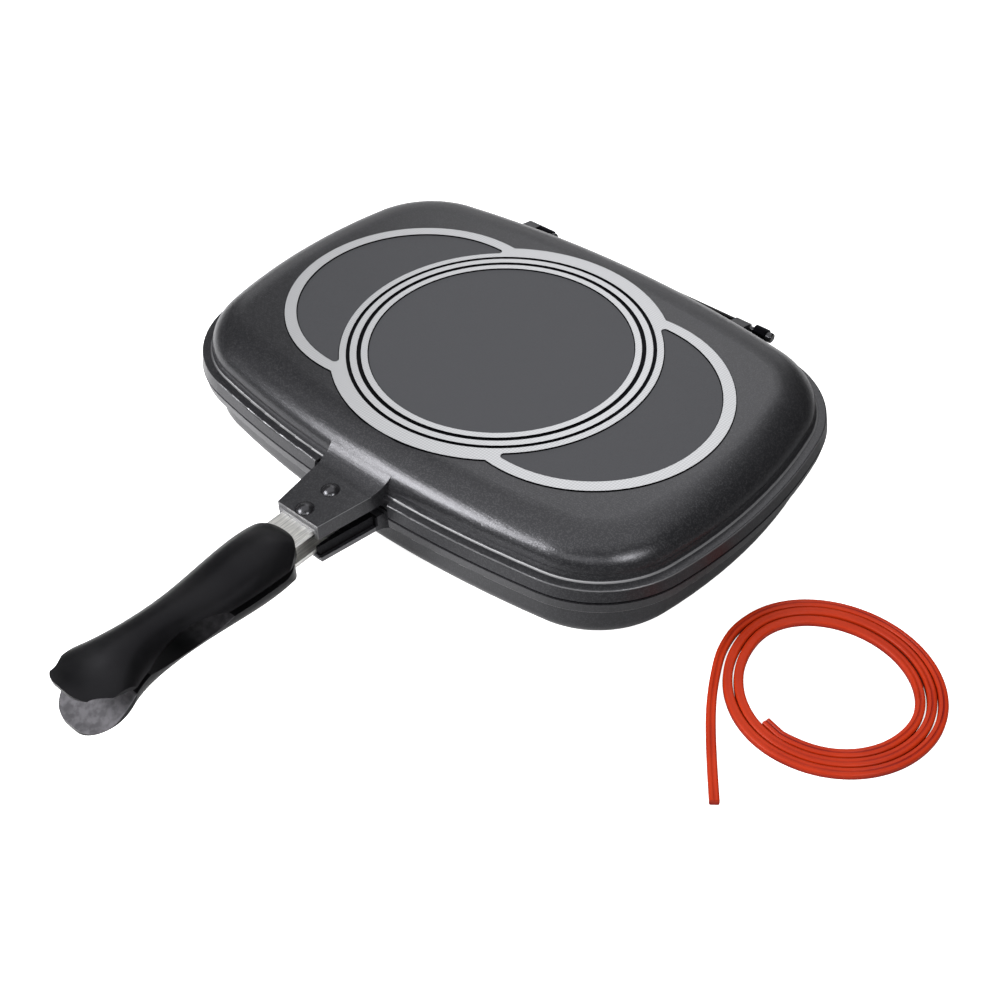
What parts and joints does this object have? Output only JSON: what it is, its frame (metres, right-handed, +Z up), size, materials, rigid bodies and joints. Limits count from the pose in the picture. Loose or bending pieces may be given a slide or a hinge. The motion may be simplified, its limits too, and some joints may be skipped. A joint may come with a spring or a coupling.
{
  "type": "double sided flip pan",
  "caption": "Double sided frying pan: two shallow cast pans hinged rim to rim, each with half of a split handle, a rear drip tray and a loose rim seal strip laid beside it.",
  "frame": {"origin": "centre of the lower pan's machined base rings, on the surface the closed pan stands on", "axes": "+Z up, +Y from the handle towards the hinge, +X along the pan's long side towards the loose strip"},
  "size_m": [0.4382, 0.411, 0.0613],
  "materials": {
    "coat": "satin: cast, with a dark non-stick coat that holds fine metallic flakes",
    "steel": "brushed",
    "dark_steel": "dark polished",
    "handle": "satin phenolic",
    "magnet": "plated",
    "seal": "matte red silicone"
  },
  "bodies": {
    "lower": {"lower_pan": "coat", "drip_tray": "handle", "hinge_pin_left": "dark_steel", "hinge_pin_right": "dark_steel", "lower_tang": "steel", "lower_grip": "handle", "lower_grip_screw": "steel", "lower_front_rivet": "dark_steel", "lower_rear_rivet": "dark_steel", "lower_front_magnet": "magnet", "lower_rear_magnet": "magnet", "seal_strip_coil": "seal", "seal_strip_tail": "seal"},
    "upper": {"upper_pan": "coat", "upper_tang": "steel", "upper_grip": "handle", "upper_grip_screw": "steel", "upper_front_rivet": "dark_steel", "upper_rear_rivet": "dark_steel", "upper_front_magnet": "magnet", "upper_rear_magnet": "magnet"}
  },
  "joints": [
    {"name": "lid_hinge", "type": "hinge", "parent": "lower", "child": "upper", "pos_m": [0, 0.121, 0.0365], "axis": [-1, 0, 0], "range_deg": [0, 180]}
  ]
}
